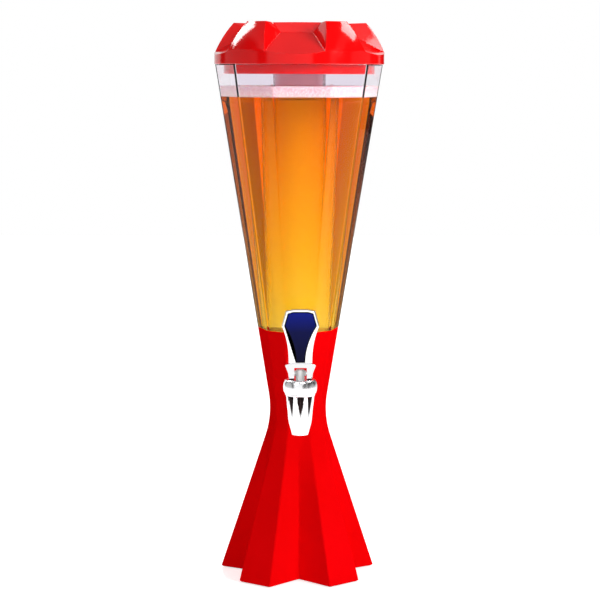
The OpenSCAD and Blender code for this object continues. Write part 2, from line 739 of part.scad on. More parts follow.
module lid() {
    color(red) rotate([0, 0, lid_turn]) {
        difference() {
            rotate_extrude($fn = 96) polygon(concat([[0, lid_foot], [lid_r - 0.6, lid_foot],
                [lid_r, lid_foot + 0.6]], lobe_curve,
                [[recess_in_at, lid_top - crown * 0.6], [recess_in_at * 0.6, lid_top - crown * 0.2],
                [0, lid_top]]));
            at_recesses() recess(0);
            difference() {
                rotate_extrude($fn = 96) polygon([[0, lid_foot - 1],
                    [plug_ring_r - plug_ring_t, lid_foot - 1],
                    [plug_ring_r - plug_ring_t, lid_foot + flange_h],
                    [lid_r - lid_wall, lid_foot + flange_h + 2], [lid_r - lid_wall, rim_top - 1],
                    [lobe_top_r - lid_wall * 0.6, roof_z], [0, roof_z]]);
                at_recesses() recess(lid_wall);
                translate([0, 0, socket_foot])
                    cylinder(r = socket_r + socket_wall, h = socket_h + 1, $fn = 96);
            }
            translate([0, 0, socket_foot - cap])
                cylinder(r = socket_r, h = socket_h + cap, $fn = 96);
        }
        plug_ring();
    }
}

module plug_ring() {
    rotate_extrude($fn = 96) polygon([
        [plug_ring_r - plug_ring_t, lid_foot - plug_ring_h],
        [plug_ring_r - 0.8, lid_foot - plug_ring_h],
        [plug_ring_r, lid_foot - plug_ring_h + 1.2],
        [plug_ring_r, lid_foot + flange_h / 2],
        [plug_ring_r - plug_ring_t, lid_foot + flange_h / 2]]);
}

// ---- Ice tube ----
seal_top = roof_z - 2 * touch;
tube_top = seal_top - seal_t - touch;

module tube_seal() {
    color(silicone) translate([0, 0, seal_top - seal_t]) difference() {
        cylinder(r = tube_r - 0.2, h = seal_t, $fn = 96);
        translate([0, 0, -1]) cylinder(r = tube_r - tube_wall - 1, h = seal_t + 2, $fn = 96);
    }
}

end_round = 8;
tube_foot_r = (tube_r + tube_clear + step_in + tank_wall) / cos(lobe_step / 2 - lobe_half);
tube_bottom = (tube_foot_r - neck_foot_r) / tank_taper;
module ice_tube() {
    color(clear) rotate_extrude($fn = 96) polygon(concat(
        [[0, tube_bottom]],
        [for (a = [-90:15:0]) [tube_r - end_round + end_round * cos(a),
            tube_bottom + end_round + end_round * sin(a)]],
        [[tube_r, tube_top - 0.5], [tube_r - 0.5, tube_top], [tube_r - tube_wall, tube_top]],
        [for (a = [0:-15:-90]) let (r = end_round - tube_wall)
            [tube_r - end_round + r * cos(a), tube_bottom + end_round + r * sin(a)]],
        [[0, tube_bottom + tube_wall]]));
}

base_shell();
bottom_cover();
cover_screws();
foot_pads();
ballast_disc();
tank();
tap_body();
outer_washer();
inner_washer();
shank_nut();
bonnet();
stem_seal();
return_spring();
stem();
seat_plug();
lever_pin();
lever_fork();
handle();
handle_inset();
lid();
tube_seal();
ice_tube();
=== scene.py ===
"""Beer tower dispenser: a clear ten-sided tank of beer on a pleated red pedestal, with a
faceted lid, an ice tube and a chromed lever tap. The tap faces -Y, and z = 0 is the floor.
Sizes are in millimetres, as in the part's own source, until a mesh is made.
"""

import math

import bmesh
import bpy
import numpy as np
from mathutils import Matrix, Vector


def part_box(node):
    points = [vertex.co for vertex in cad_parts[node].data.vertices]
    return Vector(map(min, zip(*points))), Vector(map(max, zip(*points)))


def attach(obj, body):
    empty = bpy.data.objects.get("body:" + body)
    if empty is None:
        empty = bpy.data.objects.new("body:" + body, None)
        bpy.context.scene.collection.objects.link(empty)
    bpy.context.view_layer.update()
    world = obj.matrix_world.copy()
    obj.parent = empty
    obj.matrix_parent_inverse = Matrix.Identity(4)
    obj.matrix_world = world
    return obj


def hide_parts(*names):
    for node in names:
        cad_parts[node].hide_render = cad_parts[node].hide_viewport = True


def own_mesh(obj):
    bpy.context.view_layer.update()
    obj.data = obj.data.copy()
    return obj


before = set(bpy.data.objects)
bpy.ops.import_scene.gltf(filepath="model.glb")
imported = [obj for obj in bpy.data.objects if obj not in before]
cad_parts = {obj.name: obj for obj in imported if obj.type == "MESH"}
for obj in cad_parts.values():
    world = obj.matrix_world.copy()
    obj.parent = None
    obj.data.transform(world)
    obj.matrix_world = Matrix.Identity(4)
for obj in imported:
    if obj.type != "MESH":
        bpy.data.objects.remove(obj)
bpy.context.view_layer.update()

MM = 0.001

# ---- Sizes that the part's source gives ----
LOBES = 5
LOBE_STEP = 360 / LOBES
# The pleated foot. A half is half the angle between the two corners of a lobe, and a taper is
# the change of the radius with height
SHELL_FOOT = 1.0
FOOT_R = 85.7
FOOT_VALLEY_R = 48.6
FOOT_HALF = 13.7
FOOT_TAPER = 0.3294
PLEAT_TOP = 147.0
WAIST_BLEND = 25.0
# The ten-sided neck and the tank, whose foot is stepped in to stand in the neck
NECK_TOP = 271.0
NECK_R = 44.3
LOBE_HALF = 15.0
TANK_TAPER = 0.1624
TANK_TOP = 555.6
TANK_BOTTOM = 179.0
TANK_FLOOR = 3.5
STEP_IN = 3.4
WALL = 3.0
NARROWING = (NECK_TOP - 4, NECK_TOP + 6)    # where the tank's inside narrows into the neck
# The tap. A pair is a radius and a height on the spout's fluted cone
TAP_OUT = 66.0
SHANK_Z = 200.0
SHANK_HOLE_R = 6.25
SPOUT_KNEE = (12.2, 178.5)

# ---- Sizes of what only the scene holds ----
PLEAT_EDGE = 1.6            # how far from a corner its rounding begins
TANK_EDGE = 1.4
INSIDE_EDGE = 1.2
FOOT_BEVEL = 1.2
RIM_BEVEL = 0.5
SHOULDER_BEVEL = 0.3
SEAT_GAP = 0.02             # between the tank's shoulder and the pedestal's rim
CREASE = 28                 # degrees at which an edge of a finished piece is bevelled
SPOUT_HEAD = (15.2, 206.0)  # where the flutes end, under the bonnet
FLUTE_SHADE = (0.3, 1.2)     # depths in a flute where the painted shade begins and is full
SPOUT_BORE_R = 10.2         # what lies inside this radius is no flute
BEER_TOP = 521.5
PAINTED_TINT_RISE = 8.0             # the height over which clear plastic takes its painted tint above the beer
FOAM_TOP = 533.0
TUBE_R = 28.4
TUBE_BOTTOM = 262.1
TUBE_END_R = 8.0
FIT = 0.06                  # how far the beer reaches into the walls that it wets
FOAM_GAP = 0.05             # between beer and foam
FOAM_WALL = WALL + 0.02
FOAM_HOLE = 1.004           # the foam's hole is this much wider than the tube's well


# ---- Shapes: the pleated body that pedestal, tank and beer share ----
def polar(radius, azimuth, z):
    """A point at a radius and an azimuth in degrees, counted from the front (-Y) towards +X."""
    a = np.radians(azimuth)
    return np.stack(np.broadcast_arrays(radius * np.sin(a), -radius * np.cos(a), z), -1)


def waist_curve():
    """The waist: a quadratic curve that rounds the corner where flare line meets neck line."""
    neck_foot = NECK_R - TANK_TAPER * NECK_TOP
    z = (FOOT_R - neck_foot) / (TANK_TAPER + FOOT_TAPER)
    corner = np.array([FOOT_R - FOOT_TAPER * z, z])
    down = np.array([FOOT_TAPER, -1.0]) / math.hypot(FOOT_TAPER, 1)
    up = np.array([TANK_TAPER, 1.0]) / math.hypot(TANK_TAPER, 1)
    t = np.linspace(0, 1, 25)[:, None]
    start, end = corner + WAIST_BLEND * down, corner + WAIST_BLEND * up
    return (1 - t) ** 2 * start + 2 * t * (1 - t) * corner + t**2 * end


WAIST = waist_curve()


def lobe_radius(z):
    """Radius of the lobes' corners: a flare line below, the waist's curve, a neck line above."""
    z = np.asarray(z, float)
    flare = FOOT_R - FOOT_TAPER * z
    neck = NECK_R + TANK_TAPER * (z - NECK_TOP)
    waist = np.interp(z, WAIST[:, 1], WAIST[:, 0])
    return np.where(z <= WAIST[0, 1], flare, np.where(z >= WAIST[-1, 1], neck, waist))


def outline(z):
    """Corners of the body at heights z: a valley and the two corners of a lobe, five times
    round. Above the pleats the valleys lie on the straight lines between the lobes."""
    z = np.atleast_1d(np.asarray(z, float))
    share = np.clip(z / PLEAT_TOP, 0, 1)
    half = FOOT_HALF + (LOBE_HALF - FOOT_HALF) * share
    chord = lobe_radius(z) * np.cos(np.radians(LOBE_STEP / 2 - half))
    chord_end = lobe_radius(PLEAT_TOP) * math.cos(math.radians(LOBE_STEP / 2 - LOBE_HALF))
    valley = np.where(share < 1, FOOT_VALLEY_R + (chord_end - FOOT_VALLEY_R) * share, chord)
    lobe = lobe_radius(z)
    corners = []
    for i in range(LOBES):
        corners += [
            polar(valley, LOBE_STEP * i, z),
            polar(lobe, LOBE_STEP * (i + 0.5) - half, z),
            polar(lobe, LOBE_STEP * (i + 0.5) + half, z),
        ]
    return np.stack(corners, 1)


def unit(v):
    return v / np.linalg.norm(v, axis=-1, keepdims=True)


def inset(rings, width):
    """Moves every edge of level, counter-clockwise outlines inwards by a width: each corner
    goes along the sum of its two edges' normals, divided by 1 plus their dot product."""
    before = unit(rings - np.roll(rings, 1, 1))
    after = np.roll(before, -1, 1)
    n1 = np.stack([-before[..., 1], before[..., 0], 0 * before[..., 0]], -1)
    n2 = np.stack([-after[..., 1], after[..., 0], 0 * after[..., 0]], -1)
    width = np.asarray(width, float).reshape(-1, 1, 1)
    return rings + (n1 + n2) * width / (1 + np.sum(n1 * n2, -1, keepdims=True))


def rounded(rings, cut, steps=4):
    """Rounds each corner: the edges end a cut away from it, and a quadratic curve joins
    them."""
    to_last = unit(np.roll(rings, 1, 1) - rings)
    to_next = unit(np.roll(rings, -1, 1) - rings)
    t = np.linspace(0, 1, steps + 1)[:, None]
    start, end = rings + cut * to_last, rings + cut * to_next
    curve = (
        start[:, :, None] * (1 - t) ** 2
        + rings[:, :, None] * 2 * t * (1 - t)
        + end[:, :, None] * t**2
    )
    return curve.reshape(len(rings), -1, 3)


def body_rings(z, wall=0.0, cut=PLEAT_EDGE):
    """Outlines of the body at heights z, a wall inside its surface, with rounded corners."""
    return rounded(inset(outline(z), wall), cut)


def tube_well(columns, top):
    """The hole that the ice tube leaves in the drink: rings from the top down, round its end
    by a quarter circle, and in over its flat middle."""
    spread = np.radians(np.linspace(0, 90, 9))
    radius = np.concatenate([
        [TUBE_R] * 6, TUBE_R - TUBE_END_R + TUBE_END_R * np.cos(spread), [0.6 * TUBE_R, 2.0]
    ])
    z = np.concatenate([
        np.linspace(top, TUBE_BOTTOM + TUBE_END_R + 1, 6),
        TUBE_BOTTOM + TUBE_END_R - TUBE_END_R * np.sin(spread),
        [TUBE_BOTTOM, TUBE_BOTTOM],
    ])
    radius = np.maximum(radius - FIT, 1.0)[:, None]
    first = outline([top])[0, 0]
    turn = np.arange(columns) / columns * 2 * np.pi + math.atan2(first[1], first[0])
    x, y = radius * np.cos(turn), radius * np.sin(turn)
    return np.stack([x, y, np.repeat(z[:, None], columns, 1)], -1)


def grid_faces(rows, columns, close_rows=False):
    """Quads of a grid whose columns go all the way round; the last row may join the first."""
    r = np.arange(rows if close_rows else rows - 1)[:, None]
    c = np.arange(columns)[None, :]
    up = (r + 1) % rows * columns
    corners = [r * columns + c, r * columns + (c + 1) % columns, up + (c + 1) % columns, up + c]
    return np.stack(corners, -1).reshape(-1, 4).tolist()


def looped(rings):
    """A closed solid of rings, the last of which joins the first: its points and faces."""
    return rings.reshape(-1, 3), grid_faces(*rings.shape[:2], close_rows=True)


def capped(rings):
    """A closed solid of stacked rings, with a fan of triangles over each end."""
    rows, columns = rings.shape[:2]
    ends = np.stack([rings[0].mean(0), rings[-1].mean(0)])
    c, after = np.arange(columns), (np.arange(columns) + 1) % columns
    top = (rows - 1) * columns
    low = np.stack([np.full(columns, rows * columns), after, c], -1)
    high = np.stack([np.full(columns, rows * columns + 1), top + c, top + after], -1)
    faces = grid_faces(rows, columns) + low.tolist() + high.tolist()
    return np.vstack([rings.reshape(-1, 3), ends]), faces


# ---- Pieces ----
def placed(name, data):
    """An object of a mesh, a lamp or a camera, in the scene."""
    made = bpy.data.objects.new(name, data)
    bpy.context.scene.collection.objects.link(made)
    return made


def new_piece(name, points, faces, material, body, slot=None, stands_for=None):
    """A closed mesh of points in millimetres, that rides on a body and may stand for a CAD
    node."""
    mesh = bpy.data.meshes.new(name)
    mesh.from_pydata((points * MM).tolist(), [], faces)
    mesh.validate()
    piece = placed(name, mesh)
    mesh.materials.append(material)
    mesh.polygons.foreach_set("use_smooth", [True] * len(mesh.polygons))
    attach(piece, body)
    if stands_for:
        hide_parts(stands_for)
    face_out(piece)
    return piece


def face_out(piece):
    """Makes the faces of a closed shell point outwards."""
    work = bmesh.new()
    work.from_mesh(piece.data)
    bmesh.ops.recalc_face_normals(work, faces=work.faces)
    work.to_mesh(piece.data)
    work.free()


def weigh_normals(piece, sharp):
    """Lets large flat faces keep their own shading beside small rounded ones. Edges that turn
    by more than the sharp angle, in degrees, stay sharp."""
    piece.data.set_sharp_from_angle(angle=math.radians(sharp))
    modifier = piece.modifiers.new("weigh", "WEIGHTED_NORMAL")
    modifier.keep_sharp = True
    modifier.weight = 80


def bore(piece, radius):
    """Cuts the round hole for the tap's shank, which runs along Y, and keeps the result."""
    a = np.linspace(0, 2 * np.pi, 64, endpoint=False)
    x, z = radius * np.cos(a), SHANK_Z + radius * np.sin(a)
    points, faces = capped(np.stack([
        np.stack([x, np.full(len(a), y), z], -1) for y in (-60.0, 0.0)
    ]))
    mesh = bpy.data.meshes.new("cutter")
    mesh.from_pydata((points * MM).tolist(), [], faces)
    cutter = placed("cutter", mesh)
    face_out(cutter)
    modifier = piece.modifiers.new("bore", "BOOLEAN")
    modifier.object, modifier.operation, modifier.solver = cutter, "DIFFERENCE", "EXACT"
    seen = piece.evaluated_get(bpy.context.evaluated_depsgraph_get())
    cut = bpy.data.meshes.new_from_object(seen)
    piece.modifiers.clear()
    cut.name = piece.data.name + "_cut"
    piece.data = cut
    bpy.data.objects.remove(cutter)


def smooth_copy(node, material, body, bevel=0.0):
    """A piece that stands for a CAD node: its merged mesh with smoothed or bevelled edges."""
    name = node + "_finished"
    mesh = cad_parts[node].data.copy()
    mesh.name = name
    work = bmesh.new()
    work.from_mesh(mesh)
    bmesh.ops.remove_doubles(work, verts=work.verts, dist=2e-6)
    bmesh.ops.dissolve_limit(
        work, angle_limit=math.radians(0.6), verts=work.verts, edges=work.edges
    )
    for face in work.faces:
        face.smooth = True
    work.to_mesh(mesh)
    work.free()
    mesh.materials.clear()
    mesh.materials.append(material)
    piece = placed(name, mesh)
    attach(piece, body)
    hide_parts(node)
    if bevel:
        modifier = piece.modifiers.new("edges", "BEVEL")
        modifier.width = bevel * MM
        modifier.segments = 3
        modifier.limit_method = "ANGLE"
        modifier.angle_limit = math.radians(CREASE)
        modifier.use_clamp_overlap = True
        modifier.miter_outer = "MITER_ARC"
    weigh_normals(piece, sharp=CREASE)
    return piece


# ---- Shader nodes ----
def add(tree, kind, values=(), **settings):
    """A node with its settings and the values of its input sockets, by name or number."""
    node = tree.nodes.new(kind)
    for key, value in settings.items():
        setattr(node, key, value)
    for key, value in dict(values).items():
        node.inputs[key].default_value = value
    return node


def maths(tree, operation, *values, kind="ShaderNodeMath", out=0):
    """The result of a maths node, whose inputs are sockets or plain values."""
    node = add(tree, kind, operation=operation)
    for value, socket in zip(values, node.inputs):
        if isinstance(value, bpy.types.NodeSocket):
            tree.links.new(value, socket)
        else:
            socket.default_value = value
    return node.outputs[out]


def vector_maths(tree, operation, *values, out="Vector"):
    return maths(tree, operation, *values, kind="ShaderNodeVectorMath", out=out)


def ranged(tree, value, low, high, to_low=0.0, to_high=1.0):
    """A value stretched from one range to another, and held inside it."""
    node = add(tree, "ShaderNodeMapRange", {
        "From Min": low, "From Max": high, "To Min": to_low, "To Max": to_high,
    })
    tree.links.new(value, node.inputs["Value"])
    return node.outputs["Result"]


def coloured(tree, value, stops):
    """A colour ramp over a value; a stop is a position and a colour, the outer two first and
    last."""
    ramp = add(tree, "ShaderNodeValToRGB")
    elements = ramp.color_ramp.elements
    for element, (position, colour) in zip(elements, (stops[0], stops[-1])):
        element.position, element.color = position, (*colour, 1)
    for position, colour in stops[1:-1]:
        elements.new(position).color = (*colour, 1)
    tree.links.new(value, ramp.inputs["Fac"])
    return ramp.outputs["Color"]


def mixed(tree, share, first, second):
    """The mix of two shaders: all first at share 0, all second at share 1."""
    mix = add(tree, "ShaderNodeMixShader")
    for value, socket in zip((share, first, second), mix.inputs):
        tree.links.new(value, socket)
    return mix.outputs["Shader"]


def place_of(tree):
    """Object coordinates."""
    return add(tree, "ShaderNodeTexCoord").outputs["Object"]


def noise(tree, place, scale, detail):
    node = add(tree, "ShaderNodeTexNoise", {"Scale": scale, "Detail": detail})
    tree.links.new(place, node.inputs["Vector"])
    return node.outputs["Fac"]


def along(tree, vector, axis):
    """One of a vector's three numbers."""
    split = add(tree, "ShaderNodeSeparateXYZ")
    tree.links.new(vector, split.inputs["Vector"])
    return split.outputs[axis]


def off_axis(tree, place):
    """Distance of a place from the z axis."""
    level = vector_maths(tree, "MULTIPLY", place, (1, 1, 0))
    return vector_maths(tree, "LENGTH", level, out="Value")


def relief(tree, shader, height, depth, invert=False):
    """Gives a shader a bump, whose depth is in millimetres."""
    bump = add(tree, "ShaderNodeBump", {"Strength": 1.0, "Distance": depth * MM}, invert=invert)
    tree.links.new(height, bump.inputs["Height"])
    tree.links.new(bump.outputs["Normal"], shader.inputs["Normal"])


# ---- Node groups that several finishes share ----
def surface_group(name, pattern_input, low, high):
    """A group that puts out a roughness and a height. It takes in its pattern's own value, as
    label, kind and value, and its two shines."""
    tree = bpy.data.node_groups.new(name, "ShaderNodeTree")
    for label, kind, value in (
        pattern_input,
        ("Shine Low", "NodeSocketFloat", low),
        ("Shine High", "NodeSocketFloat", high),
    ):
        socket = tree.interface.new_socket(label, in_out="INPUT", socket_type=kind)
        socket.default_value = value
    for label in ("Roughness", "Height"):
        tree.interface.new_socket(label, in_out="OUTPUT", socket_type="NodeSocketFloat")
    return tree, tree.nodes.new("NodeGroupInput"), tree.nodes.new("NodeGroupOutput")


def drifting_shine(tree, given, result, value, low, high):
    """The group's roughness: between its two shines, as a value goes from low to high."""
    spread = add(tree, "ShaderNodeMapRange", {"From Min": low, "From Max": high})
    tree.links.new(value, spread.inputs["Value"])
    tree.links.new(given.outputs["Shine Low"], spread.inputs["To Min"])
    tree.links.new(given.outputs["Shine High"], spread.inputs["To Max"])
    tree.links.new(spread.outputs["Result"], result.inputs["Roughness"])


def moulded_group():
    """Moulded plastic: a faint orange peel, and a shine that changes slowly over the piece."""
    tree, given, result = surface_group(
        "moulded_surface", ("Scale", "NodeSocketFloat", 300.0), 0.2, 0.3
    )
    place = place_of(tree)
    peel = add(tree, "ShaderNodeTexNoise", {"Detail": 3.0, "Roughness": 0.5})
    tree.links.new(place, peel.inputs["Vector"])
    tree.links.new(given.outputs["Scale"], peel.inputs["Scale"])
    tree.links.new(peel.outputs["Fac"], result.inputs["Height"])
    drifting_shine(tree, given, result, noise(tree, place, 14.0, 4.0), 0.35, 0.65)
    return tree


def handled_group():
    """Handling marks on metal: fine scratches along one way and soft smudges."""
    stretch = ("Stretch", "NodeSocketVector", (40.0, 900.0, 900.0))
    tree, given, result = surface_group("handled_metal", stretch, 0.03, 0.1)
    place = place_of(tree)
    stretched = vector_maths(tree, "MULTIPLY", place, given.outputs["Stretch"])
    tree.links.new(noise(tree, stretched, 1.0, 2.0), result.inputs["Height"])
    drifting_shine(tree, given, result, noise(tree, place, 45.0, 3.0), 0.4, 0.7)
    return tree


MOULDED = moulded_group()
HANDLED = handled_group()


# ---- Finishes ----
def finish_of(name, **constants):
    """A material with a Principled BSDF whose plain values are set on its own sockets."""
    material = bpy.data.materials.new(name)
    material.use_nodes = True
    shader = material.node_tree.nodes["Principled BSDF"]
    for key, value in constants.items():
        shader.inputs[key.replace("_", " ")].default_value = value
    return material, material.node_tree, shader


def use_group(tree, shader, surface, low, high, depth, **values):
    """Places a shared group with its two shines: its roughness goes to the shader, and its
    height as a bump of a depth in millimetres."""
    node = add(tree, "ShaderNodeGroup", node_tree=surface)
    for key, value in {"Shine Low": low, "Shine High": high, **values}.items():
        node.inputs[key].default_value = value
    tree.links.new(node.outputs["Roughness"], shader.inputs["Roughness"])
    relief(tree, shader, node.outputs["Height"], depth)


def pigment(tree, shader, dark, pale, scale=9.0):
    """A slow drift between two close colours, as pigment in a moulding has."""
    drift = noise(tree, place_of(tree), scale, 3.0)
    colour = coloured(tree, drift, ((0.35, dark), (0.65, pale)))
    tree.links.new(colour, shader.inputs["Base Color"])


def pedestal_red():
    material, tree, shader = finish_of("pedestal_red", IOR=1.5, Specular_IOR_Level=0.0)
    pigment(tree, shader, (0.88, 0.001, 0.002), (0.95, 0.001, 0.003))
    use_group(tree, shader, MOULDED, 0.34, 0.42, 0.03, Scale=900.0)
    return material


def lid_red():
    material, tree, shader = finish_of("lid_red", IOR=1.52, Specular_IOR_Level=0.3)
    pigment(tree, shader, (0.92, 0.002, 0.003), (0.97, 0.003, 0.004))
    use_group(tree, shader, MOULDED, 0.07, 0.12, 0.003, Scale=160.0)
    return material


def let_lamps_through(tree, shader, ior):
    """Shadow rays pass clear plastic and drink, so that what they hold is lit. Walls seen at a
    slant bend what is behind them but mirror little, as they do between black cards."""
    bend = add(tree, "ShaderNodeBsdfRefraction", {
        "Color": (1, 1, 1, 1), "Roughness": 0.0, "IOR": ior,
    })
    slant = add(tree, "ShaderNodeLayerWeight", {"Blend": 0.5}).outputs["Facing"]
    leaving = add(tree, "ShaderNodeNewGeometry").outputs["Backfacing"]
    share = maths(
        tree, "MULTIPLY",
        ranged(tree, slant, 0.3, 0.6, to_high=0.9),
        maths(tree, "SUBTRACT", 1.0, leaving),
    )
    glass = mixed(tree, share, shader.outputs["BSDF"], bend.outputs["BSDF"])
    clear = add(tree, "ShaderNodeBsdfTransparent", {"Color": (0.96, 0.96, 0.96, 1)})
    shadow = add(tree, "ShaderNodeLightPath").outputs["Is Shadow Ray"]
    seen = mixed(tree, shadow, glass, clear.outputs["BSDF"])
    tree.links.new(seen, tree.nodes["Material Output"].inputs["Surface"])
    return seen


def clear_plastic(name, tint, painted_tint, clearness=1.0):
    """Clear acrylic with a tint, and above the beer a second tint that is painted light: shade
    and pink reflection of the red lid."""
    material, tree, shader = finish_of(
        name, Transmission_Weight=clearness, IOR=1.49, Roughness=0.0,
        Specular_Tint=(0.12, 0.12, 0.12, 1),
    )
    height = along(tree, place_of(tree), "Z")
    rise = ranged(tree, height, BEER_TOP * MM, (BEER_TOP + PAINTED_TINT_RISE) * MM)
    # painted light: above the beer the plastic takes a tint of painted shade and pink reflection
    colour = coloured(tree, rise, ((0.0, tint), (1.0, painted_tint)))
    tree.links.new(colour, shader.inputs["Base Color"])
    let_lamps_through(tree, shader, 1.49)
    return material


def beer():
    """Clear lager: water's refraction, with an absorption that turns depth into amber. Where
    it wets the ice tube there is no air between them, so light goes straight on."""
    material, tree, shader = finish_of(
        "beer", Base_Color=(1.0, 1.0, 1.0, 1), Transmission_Weight=1.0, IOR=1.34, Roughness=0.0,
        Specular_Tint=(0.02, 0.02, 0.02, 1),
    )
    seen = let_lamps_through(tree, shader, 1.34)
    wet = maths(tree, "LESS_THAN", off_axis(tree, place_of(tree)), TUBE_R * MM)
    straight = add(tree, "ShaderNodeBsdfTransparent", {"Color": (1, 1, 1, 1)})
    output = tree.nodes["Material Output"]
    whole = mixed(tree, wet, seen, straight.outputs["BSDF"])
    tree.links.new(whole, output.inputs["Surface"])
    depth = add(tree, "ShaderNodeVolumeAbsorption", {
        "Color": (0.995, 0.86, 0.0, 1), "Density": 105.0,
    })
    tree.links.new(depth.outputs["Volume"], output.inputs["Volume"])
    return material


def foam():
    """Beer froth: close cells of pale bubbles, painted pink as reflected light from the red lid,
    with painted shade between the bubbles.
    """
    material, tree, shader = finish_of(
        "foam", Roughness=0.45, Subsurface_Weight=0.3, Subsurface_Scale=0.004, IOR=1.33
    )
    cells = add(tree, "ShaderNodeTexVoronoi", {"Scale": 620.0})
    tree.links.new(place_of(tree), cells.inputs["Vector"])
    centre = cells.outputs["Distance"]
    # painted light: pink from the red lid overall, darker pink as painted shade between the
    # bubbles
    colour = coloured(tree, centre, ((0.1, (1.0, 0.82, 0.82)), (0.7, (0.86, 0.52, 0.55))))
    tree.links.new(colour, shader.inputs["Base Color"])
    relief(tree, shader, centre, 0.4, invert=True)
    return material


CHROME = (0.95, 0.95, 0.96)


def chrome(name, low=0.02, high=0.06):
    material, tree, shader = finish_of(name, Metallic=1.0, Base_Color=(*CHROME, 1))
    use_group(tree, shader, HANDLED, low, high, 0.0008)
    return material


def tap_chrome():
    """Chrome with painted shade in its flutes, which lie inside the tap's cone: there its colour
    turns near black. The cone's radius grows from knee to bonnet in a straight line."""
    material = chrome("tap_chrome")
    tree = material.node_tree
    place = vector_maths(tree, "ADD", place_of(tree), (0, TAP_OUT * MM, 0))
    height, reach = along(tree, place, "Z"), off_axis(tree, place)
    cone = ranged(
        tree, height, SPOUT_KNEE[1] * MM, SPOUT_HEAD[1] * MM,
        to_low=SPOUT_KNEE[0] * MM, to_high=SPOUT_HEAD[0] * MM,
    )
    depth = maths(tree, "SUBTRACT", cone, reach)
    flute_shade = ranged(tree, depth, FLUTE_SHADE[0] * MM, FLUTE_SHADE[1] * MM)
    for value, least in ((height, SPOUT_KNEE[1] + 1), (reach, SPOUT_BORE_R)):
        flute_shade = maths(tree, "MULTIPLY", flute_shade, maths(tree, "GREATER_THAN", value, least * MM))
    # painted shade: inside the flutes the chrome's colour turns near black
    colour = coloured(tree, flute_shade, ((0.0, CHROME), (1.0, (0.02, 0.012, 0.012))))
    tree.links.new(colour, tree.nodes["Principled BSDF"].inputs["Base Color"])
    return material


def steel(name, colour):
    material, tree, shader = finish_of(name, Metallic=1.0, Base_Color=(*colour, 1))
    use_group(tree, shader, HANDLED, 0.25, 0.4, 0.01)
    return material


def soft(name, dark, pale, low, high):
    """Rubber, silicone and plain mouldings."""
    material, tree, shader = finish_of(name, IOR=1.45)
    pigment(tree, shader, dark, pale, scale=60.0)
    use_group(tree, shader, MOULDED, low, high, 0.02, Scale=1200.0)
    return material


def inset_blue():
    """Deep blue enamel with painted light that brightens it towards its top, and painted shade
    that turns it black on its rounded edge.
    """
    material, tree, shader = finish_of("inset_blue", IOR=1.5, Specular_IOR_Level=0.06)
    place = add(tree, "ShaderNodeTexCoord")
    low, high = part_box("handle_inset")
    rise = ranged(tree, along(tree, place.outputs["Object"], "Z"), low.z, high.z)
    # painted light: the blue brightens towards the inset's top
    blue_with_painted_light = coloured(tree, rise, (
        (0.0, (0.003, 0.003, 0.022)), (0.6, (0.004, 0.006, 0.07)), (1.0, (0.006, 0.014, 0.26))
    ))
    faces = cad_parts["handle_inset"].data.polygons
    front = min(faces, key=lambda face: face.normal.y * face.area).normal
    slant = vector_maths(
        tree, "DOT_PRODUCT", place.outputs["Normal"], tuple(front), out="Value"
    )
    # painted shade: the rounded edge turns near black
    edge = add(tree, "ShaderNodeMixRGB", {"Color1": (0.002, 0.002, 0.006, 1)})
    tree.links.new(ranged(tree, slant, 0.9, 0.99), edge.inputs["Fac"])
    tree.links.new(blue_with_painted_light, edge.inputs["Color2"])
    tree.links.new(edge.outputs["Color"], shader.inputs["Base Color"])
    use_group(tree, shader, MOULDED, 0.05, 0.1, 0.003, Scale=500.0)
    return material


# ---- Pedestal, tank, beer and foam ----
def pedestal(red):
    """The shell as one closed grid: outer rings upwards from a bevelled foot, over the flat
    rim, and inner rings back down. The pleats' creases are rounded."""
    heights = np.concatenate([
        np.linspace(SHELL_FOOT + FOOT_BEVEL, WAIST[0, 1], 22),
        WAIST[1:, 1],
        np.linspace(WAIST[-1, 1], NECK_TOP - RIM_BEVEL, 8)[1:],
    ])
    foot = body_rings([SHELL_FOOT + FOOT_BEVEL], wall=FOOT_BEVEL)
    foot[..., 2] = SHELL_FOOT
    rings = np.concatenate([
        foot,
        body_rings(heights),
        body_rings([NECK_TOP, NECK_TOP], wall=[RIM_BEVEL, WALL]),
        body_rings(heights[::-1], wall=WALL),
        body_rings([SHELL_FOOT], wall=WALL),
    ])
    piece = new_piece(
        "pedestal_shell", *looped(rings), red, "pedestal", "pedestal_red", "base_shell"
    )
    bore(piece, SHANK_HOLE_R)
    weigh_normals(piece, sharp=40)


def tank(clear):
    """The clear tank as one closed solid: its outside from the floor in the neck up over the
    shoulder to the lip, and its inside back down to the middle of the floor."""
    shoulder = NECK_TOP + SEAT_GAP
    low = np.concatenate([[TANK_BOTTOM], np.linspace(TANK_BOTTOM + 4, NECK_TOP - 1, 12)])
    high = np.linspace(NECK_TOP + 0.4, TANK_TOP - RIM_BEVEL, 12)
    inside = np.linspace(TANK_TOP - RIM_BEVEL, NARROWING[1], 12)
    inside_low = np.linspace(NARROWING[0], TANK_BOTTOM + TANK_FLOOR, 12)
    rings = np.concatenate([
        body_rings(low, STEP_IN, TANK_EDGE),
        body_rings([shoulder, shoulder], [STEP_IN, SHOULDER_BEVEL], TANK_EDGE),
        body_rings(high, 0.0, TANK_EDGE),
        body_rings([TANK_TOP, TANK_TOP], [RIM_BEVEL, WALL - RIM_BEVEL], TANK_EDGE),
        body_rings(inside, WALL, INSIDE_EDGE),
        body_rings(inside_low, STEP_IN + WALL, INSIDE_EDGE),
    ])
    piece = new_piece("tank_wall", *capped(rings), clear, "pedestal", "tank_clear", "tank")
    bore(piece, SHANK_HOLE_R)
    weigh_normals(piece, sharp=35)


